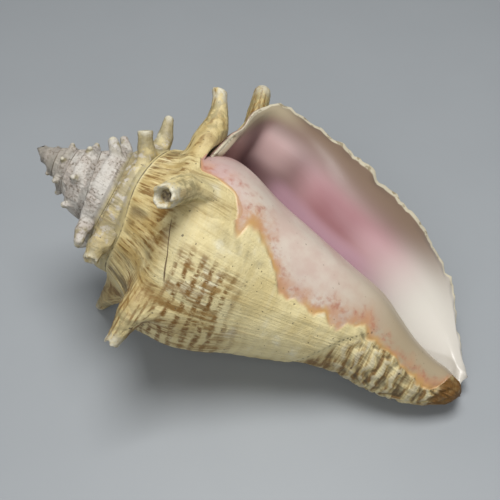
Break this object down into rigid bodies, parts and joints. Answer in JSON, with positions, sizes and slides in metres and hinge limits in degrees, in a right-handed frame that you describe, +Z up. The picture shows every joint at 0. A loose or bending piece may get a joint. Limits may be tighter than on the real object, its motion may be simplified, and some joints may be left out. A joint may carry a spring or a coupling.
{
  "type": "conch shell",
  "caption": "Empty sea snail shell with a spiny spire, a wide flared lip and a smooth pink opening, lying on its back.",
  "frame": {"origin": "middle of the bounding box at the height of the surface that the shell lies on", "axes": "+Z up; +X along the shell from the apex toward the end of the canal, as seen from above; +Y toward the free edge of the lip"},
  "size_m": [0.2028, 0.1492, 0.1113],
  "materials": {
    "shell_cream": null
  },
  "bodies": {
    "root": {"shell": "shell_cream"}
  },
  "joints": []
}
